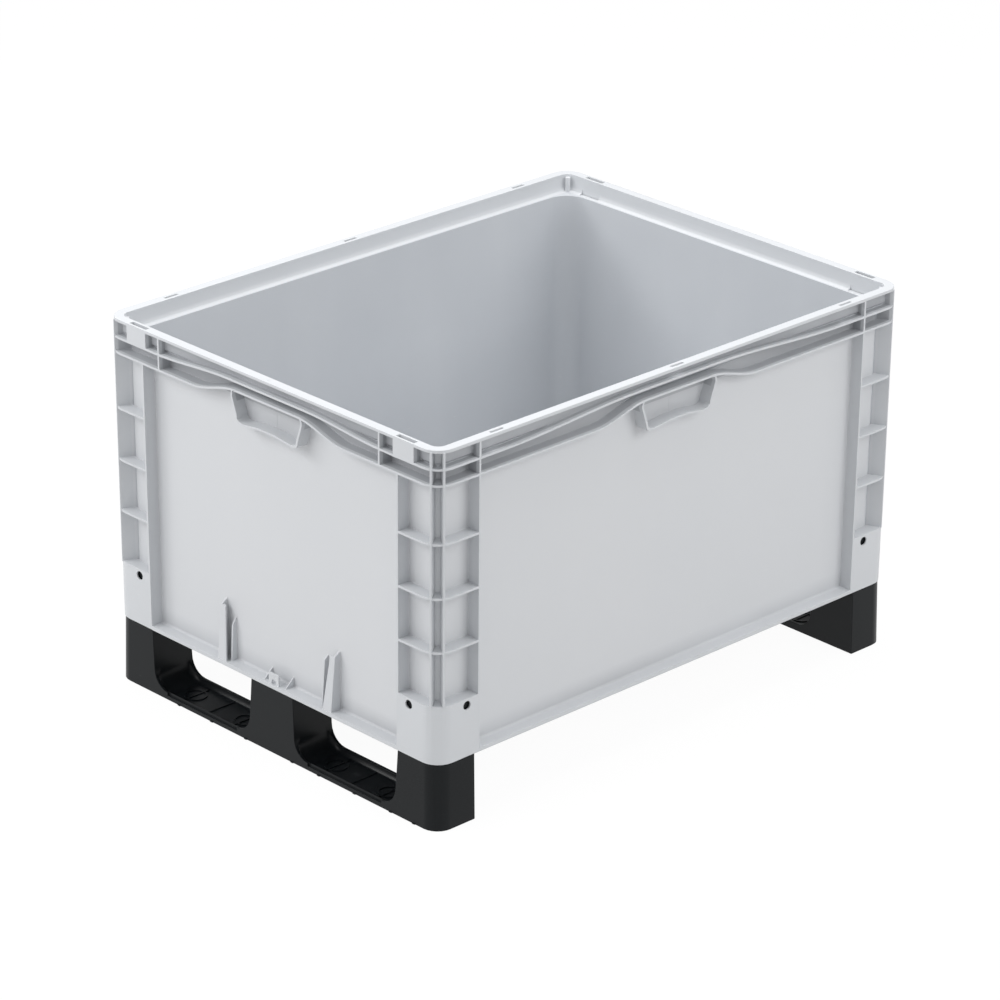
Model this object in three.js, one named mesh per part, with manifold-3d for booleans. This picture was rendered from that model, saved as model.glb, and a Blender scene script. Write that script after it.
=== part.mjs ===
// Plastic euro container of 800 by 600 mm with two skid runners under its short sides.
// Millimetres. X is the long way, Y the short way, Z up. The origin is the middle of the
// footprint on the floor that the runners stand on.
import * as THREE from 'three';
import { mergeVertices } from 'three/addons/utils/BufferGeometryUtils.js';
import Module from 'manifold-3d';

const wasm = await Module();
wasm.setup();

// Outside of the container
const LENGTH = 800;
const WIDTH = 600;
const TUB_HEIGHT = 420; // stacking base to the top of the rim
const BASE_STEP = 14; // the stacking base reaches this far below the outside walls
const SKIRT_HEIGHT = 88; // floor to the lower edge of the outside walls
const CORNER_RADIUS = 25;
const DRAFT = 2.2; // each side leans in by this much from rim to skirt
const DRAFT_BLEND = 100; // nearer than this to the middle the draft fades out
const RIM_TOP = SKIRT_HEIGHT - BASE_STEP + TUB_HEIGHT;

// Walls and floor
const WALL = 3;
const WALL_INSET = 18; // rim edge to the outer face of the panels
const WALL_RADIUS = 33; // outside radius of the upright corners behind the ribs
const FLOOR_THICKNESS = 4;
const FLOOR_FILLET = 9;
const BASE_INSET = 20;
const BASE_WALL = 4;
const BASE_RIB_PITCH = 95;
const BASE_RIB = 3;
const BASE_RIB_SHY = 2; // the cross ribs stop this far above the standing edge

// Rim with the step for a lid inside it
const RIM_EDGE = 4;
const RIM_WIDTH = 13;
const RIM_INNER_RADIUS = 12;
const COLLAR_DEPTH = 16; // rim top to the upper side of the lid ledge
const COLLAR_WALL = 3;
const LEDGE_DROP = 4; // the outside of the step lies this much lower than the inside
const LEDGE_STEP = WALL_INSET + WALL - RIM_WIDTH; // width and height of the sloped ledge
const LEDGE_FOOT = RIM_TOP - COLLAR_DEPTH - LEDGE_STEP;

// Two flanges run round under the rim and rise over the handles
const FLANGE = 3;
const UPPER_FLANGE_Z = 467.5;
const LOWER_FLANGE_Z = 447;
const LOWER_RAISE = 16.5;
const LOWER_FLAT = 56; // half of the raised stretch
const LOWER_FOOT = 138; // the rise starts this far from the middle
const UPPER_RAISE_SHORT = 8;
const UPPER_RAISE_LONG = 10.5;
const UPPER_FLAT = 70;
const RISE_TO_COLUMN_SHORT = 25; // straight stretch between the rise and the column
const RISE_TO_COLUMN_LONG = 40;
const RISE_STEPS = 10;

// Corner columns
const COLUMN = 70; // along both faces from the corner
const RIB = 3;
const BLOCK_TOP = 165;
const RING_PITCH = 69.7;
const RING_COUNT = 3;
const TWIN_ANGLE = THREE.MathUtils.degToRad(18);
const TWIN_RIB = 2.6;
const TWIN_PROUD = 1.2; // the twin ribs stand this far out of the rings' rounding
const SHORT_RIB_AT = 100; // extra rib under the rim of the short sides, from the corner
const BLOCK_SKIN = 2.5;
const HOLE_DIAMETER = 11.5;
const HOLE_FROM_CORNER = 49;
const HOLE_BELOW_TOP = 9;

// Flange along the foot of each side
const SKIRT_EDGE = 5;
const SKIRT_FILLET = 3;

// Pads with a slot for lid hinges, and small notches in the long rims
const PAD_FROM_CORNER = 58;
const PAD_WIDTH = 36;
const SLOT_LENGTH = 31;
const SLOT_WIDTH = 6.5;
const SLOT_INSET = 3;
const SLOT_DEPTH = 14;
const LEDGE_POCKET = 33; // gap in the lid ledge below each slot, for the hinge
const NOTCH_LENGTH = 21;
const NOTCH_WIDTH = 4;
const NOTCH_INSET = 4.5;
const NOTCH_DEPTH = 8;
const NOTCH_SPACING = 300;

// Handle collar on every side, a thin wall that hangs from the raised flange
const HANDLE_TOP_HALF = 61; // where the collar meets the flange
const HANDLE_HALF = 65; // its widest place
const HANDLE_BEND_HALF = 57;
const HANDLE_FOOT_HALF = 46;
const HANDLE_SHOULDER = 7; // height of the rounding under the flange
const HANDLE_HEIGHT = 41;
const HANDLE_CORNER = 9; // height of the rounding at the lower corners
const HANDLE_ARCH = 4;
const HANDLE_WALL = 3;

// Card holder on one short side
const HOLDER_SHIFT = 3; // the holder's middle, from the middle of the side
const POST_HALF = 106;
const POST_TOP = 165;
const POST_PEAK = 171;
const POST_FRONT = 2;
const POST_LEAN = 7;
const POST_PLATE = 2.5;
const POST_COVER_FOOT = 16; // the plate in front of the card narrows upwards
const POST_COVER_TOP = 9;
const GUIDE_FROM_MIDDLE = 89;
const GUIDE_FRONT = 8.5;
const GUIDE_LEAN = 3;
const GUIDE_TOP = 140;
const GUIDE_PEAK = 152;
const HOOK_HALF = 9.5;
const HOOK_HEIGHT = 15;
const HOOK_HOLE = 4;
const GUSSET_FROM_MIDDLE = 20;
const GUSSET_HEIGHT = 14;
const GUSSET = 2;

// Runners
const RUNNER_WIDTH = 63;
const RUNNER_INSET = 2; // from the container's rim edge, at the floor
const RUNNER_DRAFT = 1.5;
const RUNNER_RADIUS = 23;
const FOOT_LENGTH = 70;
const MIDDLE_FOOT = 77;
const FOOT_FLARE = 3; // each upright edge of a foot leans out by this much
const RAIL_FILLET = 25;
const RAIL_INNER_HEIGHT = 10;
const RAIL_OUTER_HEIGHT = 5.5;
const RAIL_INNER_WALL = 4;
const RAIL_OUTER_WALL = 3;
const RAIL_FLOOR = 2.5;
const RAIL_RIB_HEIGHT = 1.2;
const RAIL_RIB = 2;
const RAIL_DISH = 8; // rounding between the trough's floor and its long walls
const RAIL_RIB_PITCH = 48;
const RAIL_RING_RADIUS = 15;
const FOOT_WALL = 4;
const FOOT_FLOOR = 6;
const FOOT_CROSS_RIB = 4;
const TONGUE_WIDTH = 15;
const TONGUE = 5;
const TONGUE_INSET = 5.4;
const TONGUE_BELOW = 1.5; // the tongues end this far below the block's top
const SEAT_GAP = 0.3;

const ARC = 3; // curve divisions; an arc gets twice as many sides
const LEDGE_SLOPES = 2; // flat strips that round the ledge off
const ROUND_SIDES = 16; // sides of holes
const RING_SIDES = 20;
const PAST = 1; // how far cutters and joined pieces reach past a face
const QUARTER = Math.PI / 2;

// Closed mesh to solid and back
function solidOf(geometry) {
  const bare = geometry.clone();
  for (const name of ['normal', 'uv']) bare.deleteAttribute(name);
  const merged = mergeVertices(bare, 1e-4);
  return new wasm.Manifold(new wasm.Mesh({
    numProp: 3,
    vertProperties: new Float32Array(merged.attributes.position.array),
    triVerts: new Uint32Array(merged.index.array),
  }));
}

function geometryOf(solid) {
  const mesh = solid.getMesh();
  const geometry = new THREE.BufferGeometry();
  geometry.setAttribute('position', new THREE.BufferAttribute(mesh.vertProperties, 3));
  geometry.setIndex(new THREE.BufferAttribute(mesh.triVerts, 1));
  return geometry;
}

function joined(solids) {
  return solids.reduce((whole, piece) => whole.add(piece));
}

// Leans the sides in towards the bottom, or towards the top where zNarrow lies above
function drafted(geometry, amount, zWide, zNarrow) {
  const position = geometry.attributes.position;
  for (let i = 0; i < position.count; i += 1) {
    const lean = (amount * (position.getZ(i) - zWide)) / (zNarrow - zWide);
    const fade = (value) => THREE.MathUtils.clamp(value / DRAFT_BLEND, -1, 1);
    position.setX(i, position.getX(i) - lean * fade(position.getX(i)));
    position.setY(i, position.getY(i) - lean * fade(position.getY(i)));
  }
  return geometry;
}

// Outlines
function roundedRectangle(inset, radius) {
  const x = LENGTH / 2 - inset;
  const y = WIDTH / 2 - inset;
  const shape = new THREE.Shape();
  shape.moveTo(-x + radius, -y);
  shape.absarc(x - radius, -y + radius, radius, -QUARTER, 0);
  shape.absarc(x - radius, y - radius, radius, 0, QUARTER);
  shape.absarc(-x + radius, y - radius, radius, QUARTER, 2 * QUARTER);
  shape.absarc(-x + radius, -y + radius, radius, 2 * QUARTER, 3 * QUARTER);
  shape.closePath();
  return shape;
}

function polygon(points) {
  return new THREE.Shape(points.map(([x, y]) => new THREE.Vector2(x, y)));
}

// Square at one corner of the container with its outer corner rounded
function cornerOutline(signX, signY, inset, reach, radius) {
  const at = (u, v) => [signX * (LENGTH / 2 - u), signY * (WIDTH / 2 - v)];
  const shape = new THREE.Shape();
  shape.moveTo(...at(reach, reach));
  shape.lineTo(...at(inset, reach));
  shape.lineTo(...at(inset, inset + radius));
  const centre = inset + radius;
  const bend = new THREE.EllipseCurve(centre, centre, radius, radius, 2 * QUARTER, 3 * QUARTER);
  for (const point of bend.getPoints(2 * ARC).slice(1)) shape.lineTo(...at(point.x, point.y));
  shape.lineTo(...at(reach, inset));
  shape.closePath();
  return shape;
}

// Extrusions
function slab(shape, zLow, zHigh) {
  const geometry = new THREE.ExtrudeGeometry(shape, {
    depth: zHigh - zLow, bevelEnabled: false, curveSegments: ARC,
  });
  return solidOf(geometry.translate(0, 0, zLow));
}

// Like a slab, with its outline grown by a quarter round or a slope above zLow
function flaredSlab(shape, zLow, zHigh, flare, steps) {
  const geometry = new THREE.ExtrudeGeometry(shape, {
    depth: zHigh - zLow - 2 * flare,
    bevelEnabled: true,
    bevelSize: flare,
    bevelThickness: flare,
    bevelSegments: steps,
    curveSegments: ARC,
  });
  return solidOf(geometry.translate(0, 0, zLow + flare));
}

// A side is a face of the container. Its own frame has x along the face, y into the
// container from the rim edge and z up. Sides 0 and 2 are long, 1 and 3 are short.
const SIDES = [0, 1, 2, 3];
const isLong = (side) => side % 2 === 0;
const halfAlong = (side) => (isLong(side) ? LENGTH : WIDTH) / 2;
const halfAcross = (side) => (isLong(side) ? WIDTH : LENGTH) / 2;

function ontoSide(geometry, side) {
  return solidOf(geometry.translate(0, -halfAcross(side), 0).rotateZ(side * QUARTER));
}

// Outline in x and z, carried into the depth of a side
function intoSide(side, shape, depthFrom, depthTo) {
  const geometry = new THREE.ExtrudeGeometry(shape, {
    depth: depthTo - depthFrom, bevelEnabled: false, curveSegments: ARC,
  });
  return ontoSide(geometry.rotateX(QUARTER).translate(0, depthTo, 0), side);
}

// Outline in depth and z, carried along a side
function alongSide(side, shape, from, to) {
  const geometry = new THREE.ExtrudeGeometry(shape, {
    depth: to - from, bevelEnabled: false, curveSegments: ARC,
  });
  const turn = new THREE.Matrix4().set(0, 0, 1, from, 1, 0, 0, 0, 0, 1, 0, 0, 0, 0, 0, 1);
  return ontoSide(geometry.applyMatrix4(turn), side);
}

function boxOnSide(side, along, depth, height) {
  const [from, to] = along;
  const [low, high] = height;
  const shape = polygon([[from, low], [to, low], [to, high], [from, high]]);
  return intoSide(side, shape, depth[0], depth[1]);
}

// A stretch between two distances from the middle, or its mirror image
function mirroredRange(sign, near, far) {
  const ends = [sign * near, sign * far];
  return [Math.min(...ends), Math.max(...ends)];
}

// Outer forms of the walls
function wallPrism() {
  return slab(roundedRectangle(WALL_INSET, WALL_RADIUS), SKIRT_HEIGHT, LEDGE_FOOT + PAST);
}

function collarPrism() {
  const inset = RIM_WIDTH - COLLAR_WALL;
  const flare = WALL_INSET - inset;
  const zLow = LEDGE_FOOT - LEDGE_DROP;
  const radius = RIM_INNER_RADIUS + COLLAR_WALL - flare;
  const outline = roundedRectangle(WALL_INSET, radius);
  const tall = flaredSlab(outline, zLow, RIM_TOP + 2 * flare, flare, 1);
  return tall.intersect(slab(roundedRectangle(0, CORNER_RADIUS), 0, RIM_TOP - RIM_EDGE / 2));
}

function basePrism() {
  const radius = WALL_RADIUS + WALL_INSET - BASE_INSET;
  return slab(roundedRectangle(BASE_INSET, radius), SKIRT_HEIGHT - BASE_STEP, SKIRT_HEIGHT + PAST);
}

// The room inside the walls, with a round edge at the floor
function loadSpace() {
  const inset = WALL_INSET + WALL;
  const radius = WALL_RADIUS - WALL;
  const outline = roundedRectangle(inset + FLOOR_FILLET, radius - FLOOR_FILLET);
  const top = RIM_TOP + FLOOR_FILLET + PAST;
  return flaredSlab(outline, SKIRT_HEIGHT + FLOOR_THICKNESS, top, FLOOR_FILLET, ARC);
}

// The wider mouth above it, whose sloped lower edge is the ledge that a lid sits on
function mouthSpace() {
  const outline = roundedRectangle(WALL_INSET + WALL, RIM_INNER_RADIUS - LEDGE_STEP);
  return flaredSlab(outline, LEDGE_FOOT, RIM_TOP + 2 * LEDGE_STEP, LEDGE_STEP, LEDGE_SLOPES);
}

// Underside of the base: a standing edge all round with a grid of ribs inside it
function underside() {
  const inset = BASE_INSET + BASE_WALL;
  const radius = WALL_RADIUS + WALL_INSET - inset;
  const low = SKIRT_HEIGHT - BASE_STEP;
  const pocket = slab(roundedRectangle(inset, radius), low - PAST, SKIRT_HEIGHT);
  const ribs = [];
  for (const side of [0, 1]) {
    const reach = halfAlong(side);
    const count = Math.floor((halfAlong(1 - side) - inset) / BASE_RIB_PITCH);
    for (let i = -count; i <= count; i += 1) {
      const middle = halfAcross(side) + i * BASE_RIB_PITCH;
      const depth = [middle - BASE_RIB / 2, middle + BASE_RIB / 2];
      ribs.push(boxOnSide(side, [-reach, reach], depth, [low + BASE_RIB_SHY, SKIRT_HEIGHT + PAST]));
    }
  }
  return pocket.subtract(joined(ribs));
}

// Height of a flange's lower edge at a distance from the middle of a side
function flangeHeight(along, base, raise, flat, foot) {
  const share = THREE.MathUtils.smoothstep(foot - Math.abs(along), 0, foot - flat);
  return base + raise * share;
}

function flangeBand(side, base, raise, flat, foot) {
  const end = halfAlong(side) - COLUMN + PAST;
  const stops = [-end];
  for (let i = 0; i <= RISE_STEPS; i += 1) stops.push(-foot + ((foot - flat) * i) / RISE_STEPS);
  for (let i = 0; i <= RISE_STEPS; i += 1) stops.push(flat + ((foot - flat) * i) / RISE_STEPS);
  stops.push(end);
  const lower = stops.map((x) => [x, flangeHeight(x, base, raise, flat, foot)]);
  const upper = lower.map(([x, z]) => [x, z + FLANGE]).reverse();
  return intoSide(side, polygon([...lower, ...upper]), 0, WALL_INSET + WALL - PAST);
}

function sideFlanges(side) {
  const raise = isLong(side) ? UPPER_RAISE_LONG : UPPER_RAISE_SHORT;
  const straight = isLong(side) ? RISE_TO_COLUMN_LONG : RISE_TO_COLUMN_SHORT;
  const foot = halfAlong(side) - COLUMN - straight;
  return [
    flangeBand(side, UPPER_FLANGE_Z, raise, UPPER_FLAT, foot),
    flangeBand(side, LOWER_FLANGE_Z, LOWER_RAISE, LOWER_FLAT, LOWER_FOOT),
  ];
}

// Flange along the foot of a side, rounded into the panel
function skirtFlange(side) {
  const z = SKIRT_HEIGHT + SKIRT_EDGE;
  const bend = WALL_INSET - SKIRT_FILLET;
  const shape = new THREE.Shape();
  shape.moveTo(0, SKIRT_HEIGHT);
  shape.lineTo(WALL_INSET + PAST, SKIRT_HEIGHT);
  shape.lineTo(WALL_INSET + PAST, z + SKIRT_FILLET);
  shape.lineTo(WALL_INSET, z + SKIRT_FILLET);
  shape.absarc(bend, z + SKIRT_FILLET, SKIRT_FILLET, 0, -QUARTER, true);
  shape.lineTo(0, z);
  shape.closePath();
  const end = halfAlong(side) - COLUMN + PAST;
  return alongSide(side, shape, -end, end);
}

// Ribs that stand on edge at the border of each column and under the short rims
function uprightRibs(side) {
  const depth = [0, WALL_INSET + PAST];
  const top = isLong(side) ? RIM_TOP - RIM_EDGE / 2 : LOWER_FLANGE_Z + FLANGE / 2;
  const ribs = [];
  for (const sign of [-1, 1]) {
    const border = mirroredRange(sign, halfAlong(side) - COLUMN, halfAlong(side) - COLUMN + RIB);
    ribs.push(boxOnSide(side, border, depth, [SKIRT_HEIGHT, top]));
    if (!isLong(side)) {
      const at = halfAlong(side) - SHORT_RIB_AT;
      const height = [LOWER_FLANGE_Z + FLANGE / 2, RIM_TOP - RIM_EDGE / 2];
      ribs.push(boxOnSide(side, mirroredRange(sign, at - RIB / 2, at + RIB / 2), depth, height));
    }
  }
  return ribs;
}

// Column at one corner: block, rings, the two flanges' corners and the twin ribs
function cornerColumn(signX, signY) {
  const outline = cornerOutline(signX, signY, 0, COLUMN, CORNER_RADIUS);
  const pieces = [slab(outline, SKIRT_HEIGHT, BLOCK_TOP)];
  for (let i = 1; i <= RING_COUNT; i += 1) {
    const z = BLOCK_TOP + i * RING_PITCH;
    pieces.push(slab(outline, z - RIB / 2, z + RIB / 2));
  }
  for (const z of [UPPER_FLANGE_Z, LOWER_FLANGE_Z]) pieces.push(slab(outline, z, z + FLANGE));
  const diagonal = Math.atan2(signY, signX);
  for (const sign of [-1, 1]) {
    const height = RIM_TOP - RIM_EDGE - BLOCK_TOP + 2 * PAST;
    const rib = new THREE.BoxGeometry(2 * CORNER_RADIUS, TWIN_RIB, height);
    rib.translate(TWIN_PROUD, 0, BLOCK_TOP - PAST + height / 2);
    rib.rotateZ(diagonal + sign * TWIN_ANGLE);
    rib.translate(signX * (LENGTH / 2 - CORNER_RADIUS), signY * (WIDTH / 2 - CORNER_RADIUS), 0);
    pieces.push(solidOf(rib));
  }
  return joined(pieces);
}

// Hollow of a corner block, open below
function blockHollow(signX, signY) {
  const radius = CORNER_RADIUS - BLOCK_SKIN;
  const outline = cornerOutline(signX, signY, BLOCK_SKIN, COLUMN - RIB, radius);
  return slab(outline, SKIRT_HEIGHT - PAST, BLOCK_TOP - BLOCK_SKIN).subtract(wallPrism());
}

function blockHoles(side) {
  const radius = HOLE_DIAMETER / 2;
  const holes = [];
  for (const sign of [-1, 1]) {
    const hole = new THREE.CylinderGeometry(radius, radius, 2 * BLOCK_SKIN + PAST, ROUND_SIDES);
    const at = sign * (halfAlong(side) - HOLE_FROM_CORNER);
    hole.translate(at, BLOCK_SKIN / 2, BLOCK_TOP - HOLE_BELOW_TOP);
    holes.push(ontoSide(hole, side));
  }
  return holes;
}

// Handle collar: the same outline twice, the inner one a wall's thickness smaller
function handleOutline(shrink) {
  const underside = LOWER_FLANGE_Z + LOWER_RAISE;
  const top = underside + FLANGE / 2;
  const foot = underside - HANDLE_HEIGHT + shrink;
  const half = HANDLE_HALF - shrink;
  const bendHalf = HANDLE_BEND_HALF - shrink;
  const footHalf = HANDLE_FOOT_HALF - shrink;
  const shoulder = underside - HANDLE_SHOULDER;
  const bend = foot + HANDLE_CORNER;
  const shape = new THREE.Shape();
  shape.moveTo(shrink - HANDLE_TOP_HALF, top);
  shape.quadraticCurveTo(-half, underside, -half, shoulder);
  shape.lineTo(-bendHalf, bend);
  shape.quadraticCurveTo(shrink / 2 - HANDLE_BEND_HALF, foot, -footHalf, foot);
  shape.quadraticCurveTo(0, foot + 2 * HANDLE_ARCH, footHalf, foot);
  shape.quadraticCurveTo(HANDLE_BEND_HALF - shrink / 2, foot, bendHalf, bend);
  shape.lineTo(half, shoulder);
  shape.quadraticCurveTo(half, underside, HANDLE_TOP_HALF - shrink, top);
  shape.closePath();
  return shape;
}

function handleCollar(side) {
  const deep = WALL_INSET + PAST;
  const outer = intoSide(side, handleOutline(0), 0, deep);
  return outer.subtract(intoSide(side, handleOutline(HANDLE_WALL), -PAST, WALL_INSET));
}

// Pads under the short rims, and the slots and notches cut into the rim's top
function hingePads(side) {
  const middle = halfAlong(side) - PAD_FROM_CORNER;
  const height = [UPPER_FLANGE_Z + FLANGE / 2, RIM_TOP - RIM_EDGE / 2];
  const depth = [0, RIM_WIDTH - COLLAR_WALL + PAST];
  return [-1, 1].map((sign) => boxOnSide(side,
    mirroredRange(sign, middle - PAD_WIDTH / 2, middle + PAD_WIDTH / 2), depth, height));
}

function rimSlots(side) {
  const middle = halfAlong(side) - PAD_FROM_CORNER;
  return [-1, 1].map((sign) => boxOnSide(side,
    mirroredRange(sign, middle - SLOT_LENGTH / 2, middle + SLOT_LENGTH / 2),
    [SLOT_INSET, SLOT_INSET + SLOT_WIDTH], [RIM_TOP - SLOT_DEPTH, RIM_TOP + PAST]));
}

function ledgePockets(side) {
  const middle = halfAlong(side) - PAD_FROM_CORNER;
  return [-1, 1].map((sign) => boxOnSide(side,
    mirroredRange(sign, middle - LEDGE_POCKET / 2, middle + LEDGE_POCKET / 2),
    [RIM_WIDTH, WALL_INSET + WALL + PAST], [UPPER_FLANGE_Z + FLANGE, RIM_TOP]));
}

function rimNotches(side) {
  return [-1, 0, 1].map((place) => boxOnSide(side,
    [place * NOTCH_SPACING - NOTCH_LENGTH / 2, place * NOTCH_SPACING + NOTCH_LENGTH / 2],
    [NOTCH_INSET, NOTCH_INSET + NOTCH_WIDTH], [RIM_TOP - NOTCH_DEPTH, RIM_TOP + PAST]));
}

// Card holder at the foot of a side: two posts, a guide rib and a small hook between them
function cardPost(side, sign) {
  const foot = SKIRT_HEIGHT + SKIRT_EDGE - PAST;
  const back = WALL_INSET + PAST;
  const rib = polygon([[back, foot], [POST_FRONT, foot], [POST_FRONT + POST_LEAN, POST_TOP],
    [WALL_INSET, POST_PEAK], [back, POST_PEAK]]);
  const plate = polygon([[POST_FRONT, foot], [POST_FRONT + POST_PLATE, foot],
    [POST_FRONT + POST_LEAN + POST_PLATE, POST_TOP], [POST_FRONT + POST_LEAN, POST_TOP]]);
  const at = HOLDER_SHIFT + sign * POST_HALF;
  const outer = at + sign * (RIB / 2);
  const cover = polygon([[outer, foot], [outer, POST_TOP], [outer - sign * POST_COVER_TOP, POST_TOP],
    [outer - sign * POST_COVER_FOOT, foot]]);
  const covered = alongSide(side, plate, ...mirroredRange(1, outer, outer - sign * POST_COVER_FOOT));
  const tapered = covered.intersect(intoSide(side, cover, 0, WALL_INSET));
  return alongSide(side, rib, at - RIB / 2, at + RIB / 2).add(tapered);
}

function cardGuide(side) {
  const foot = SKIRT_HEIGHT + SKIRT_EDGE - PAST;
  const back = WALL_INSET + PAST;
  const shape = polygon([[back, foot], [GUIDE_FRONT, foot], [GUIDE_FRONT + GUIDE_LEAN, GUIDE_TOP],
    [WALL_INSET, GUIDE_PEAK], [back, GUIDE_PEAK]]);
  const at = HOLDER_SHIFT - GUIDE_FROM_MIDDLE;
  return alongSide(side, shape, at - RIB / 2, at + RIB / 2);
}

function cardHook(side) {
  const foot = SKIRT_HEIGHT + SKIRT_EDGE - PAST;
  const top = SKIRT_HEIGHT + SKIRT_EDGE + HOOK_HEIGHT;
  const tongue = new THREE.Shape();
  tongue.moveTo(HOLDER_SHIFT - HOOK_HALF, foot);
  tongue.lineTo(HOLDER_SHIFT - HOOK_HOLE, foot);
  tongue.lineTo(HOLDER_SHIFT - HOOK_HOLE, foot + HOOK_HOLE);
  tongue.absarc(HOLDER_SHIFT, foot + HOOK_HOLE, HOOK_HOLE, 2 * QUARTER, 0, true);
  tongue.lineTo(HOLDER_SHIFT + HOOK_HOLE, foot);
  tongue.lineTo(HOLDER_SHIFT + HOOK_HALF, foot);
  tongue.lineTo(HOLDER_SHIFT + HOOK_HALF, top);
  tongue.lineTo(HOLDER_SHIFT - HOOK_HALF, top);
  tongue.closePath();
  const gusset = polygon([[POST_FRONT, foot], [WALL_INSET + PAST, foot],
    [WALL_INSET + PAST, foot + GUSSET_HEIGHT], [WALL_INSET, foot + GUSSET_HEIGHT]]);
  const pieces = [intoSide(side, tongue, POST_FRONT, POST_FRONT + POST_PLATE)];
  for (const sign of [-1, 1]) {
    const at = HOLDER_SHIFT + sign * GUSSET_FROM_MIDDLE;
    pieces.push(alongSide(side, gusset, at - GUSSET / 2, at + GUSSET / 2));
  }
  return joined(pieces);
}

function containerTub() {
  const pieces = [wallPrism(), collarPrism(), basePrism()];
  pieces.push(slab(roundedRectangle(0, CORNER_RADIUS), RIM_TOP - RIM_EDGE, RIM_TOP));
  for (const signX of [-1, 1]) {
    for (const signY of [-1, 1]) pieces.push(cornerColumn(signX, signY));
  }
  for (const side of SIDES) {
    pieces.push(...sideFlanges(side), skirtFlange(side), ...uprightRibs(side));
    pieces.push(handleCollar(side));
    if (!isLong(side)) pieces.push(...hingePads(side));
  }
  pieces.push(cardPost(3, -1), cardPost(3, 1), cardGuide(3), cardHook(3));
  const cuts = [loadSpace(), mouthSpace(), underside()];
  for (const signX of [-1, 1]) {
    for (const signY of [-1, 1]) cuts.push(blockHollow(signX, signY));
  }
  for (const side of SIDES) {
    cuts.push(...blockHoles(side));
    cuts.push(...(isLong(side) ? rimNotches(side) : [...rimSlots(side), ...ledgePockets(side)]));
  }
  const whole = joined(pieces).subtract(joined(cuts));
  return drafted(geometryOf(whole), DRAFT, RIM_TOP, SKIRT_HEIGHT);
}

// Runner seen from the container's short side: three feet on a low rail
function runnerOutline() {
  const end = WIDTH / 2;
  const top = SKIRT_HEIGHT - SEAT_GAP;
  const bays = [
    [-end + RUNNER_INSET + FOOT_LENGTH, -MIDDLE_FOOT / 2],
    [MIDDLE_FOOT / 2, end - RUNNER_INSET - FOOT_LENGTH],
  ];
  const shape = new THREE.Shape();
  shape.moveTo(-end, 0);
  shape.lineTo(-end, top);
  for (const [from, to] of bays) {
    const low = RAIL_INNER_HEIGHT;
    const left = from + FOOT_FLARE;
    const right = to - FOOT_FLARE;
    shape.lineTo(from, top);
    shape.lineTo(left, low + RAIL_FILLET);
    shape.absarc(left + RAIL_FILLET, low + RAIL_FILLET, RAIL_FILLET, 2 * QUARTER, 3 * QUARTER);
    shape.lineTo(right - RAIL_FILLET, low);
    shape.absarc(right - RAIL_FILLET, low + RAIL_FILLET, RAIL_FILLET, 3 * QUARTER, 4 * QUARTER);
    shape.lineTo(to, top);
  }
  shape.lineTo(end, top);
  shape.lineTo(end, 0);
  shape.closePath();
  return shape;
}

// Room of the rail's trough, open above and dished along its long walls
function railDish(side, from, to, outer, inner) {
  const left = from + RAIL_DISH;
  const right = to - RAIL_DISH;
  const low = RAIL_FLOOR + RAIL_DISH;
  const radius = RAIL_FILLET - RAIL_DISH;
  const high = low + radius + PAST;
  const shape = new THREE.Shape();
  shape.moveTo(left + radius, low);
  shape.lineTo(right - radius, low);
  shape.absarc(right - radius, low + radius, radius, 3 * QUARTER, 4 * QUARTER);
  shape.lineTo(right, high);
  shape.lineTo(left, high);
  shape.lineTo(left, low + radius);
  shape.absarc(left + radius, low + radius, radius, 2 * QUARTER, 3 * QUARTER);
  shape.closePath();
  const dish = new THREE.ExtrudeGeometry(shape, {
    depth: inner - outer - 2 * RAIL_DISH,
    bevelEnabled: true,
    bevelSize: RAIL_DISH,
    bevelThickness: RAIL_DISH,
    bevelSegments: ARC,
    curveSegments: 2 * ARC,
  });
  return ontoSide(dish.rotateX(QUARTER).translate(0, inner - RAIL_DISH, 0), side);
}

// The trough with its low ribs and rings
function railTrough(side, from, to) {
  const inner = RUNNER_INSET + RUNNER_WIDTH - RAIL_INNER_WALL;
  const outer = RUNNER_INSET + RAIL_OUTER_WALL;
  const ribTop = RAIL_FLOOR + RAIL_RIB_HEIGHT;
  const middle = (from + to) / 2;
  const across = (outer + inner) / 2;
  const ribs = [];
  for (const place of [-1, 0, 1]) {
    const at = middle + place * RAIL_RIB_PITCH;
    ribs.push(boxOnSide(side, [at - RAIL_RIB / 2, at + RAIL_RIB / 2], [outer, inner], [0, ribTop]));
  }
  for (const place of [-1, 1]) {
    const profile = [[0, 0], [RAIL_RIB, 0], [RAIL_RIB, ribTop], [0, ribTop], [0, 0]];
    const points = profile.map(([x, z]) => new THREE.Vector2(RAIL_RING_RADIUS - x, z)).reverse();
    const ring = new THREE.LatheGeometry(points, RING_SIDES);
    ring.rotateX(QUARTER);
    ring.translate(middle + place * RAIL_RIB_PITCH, across, 0);
    ribs.push(ontoSide(ring, side));
  }
  return railDish(side, from, to, outer, inner).subtract(joined(ribs));
}

// Room inside a foot, open above, with a rib across its middle
function footHollow(side, from, to) {
  const outer = RUNNER_INSET + RUNNER_DRAFT + FOOT_WALL;
  const inner = RUNNER_INSET + RUNNER_WIDTH - FOOT_WALL;
  const along = [from + FOOT_WALL, to - FOOT_WALL];
  const room = boxOnSide(side, along, [outer, inner], [FOOT_FLOOR, SKIRT_HEIGHT]);
  const middle = (from + to) / 2;
  const rib = boxOnSide(side, [middle - FOOT_CROSS_RIB / 2, middle + FOOT_CROSS_RIB / 2],
    [outer, inner], [0, SKIRT_HEIGHT + PAST]);
  return room.subtract(rib);
}

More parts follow.
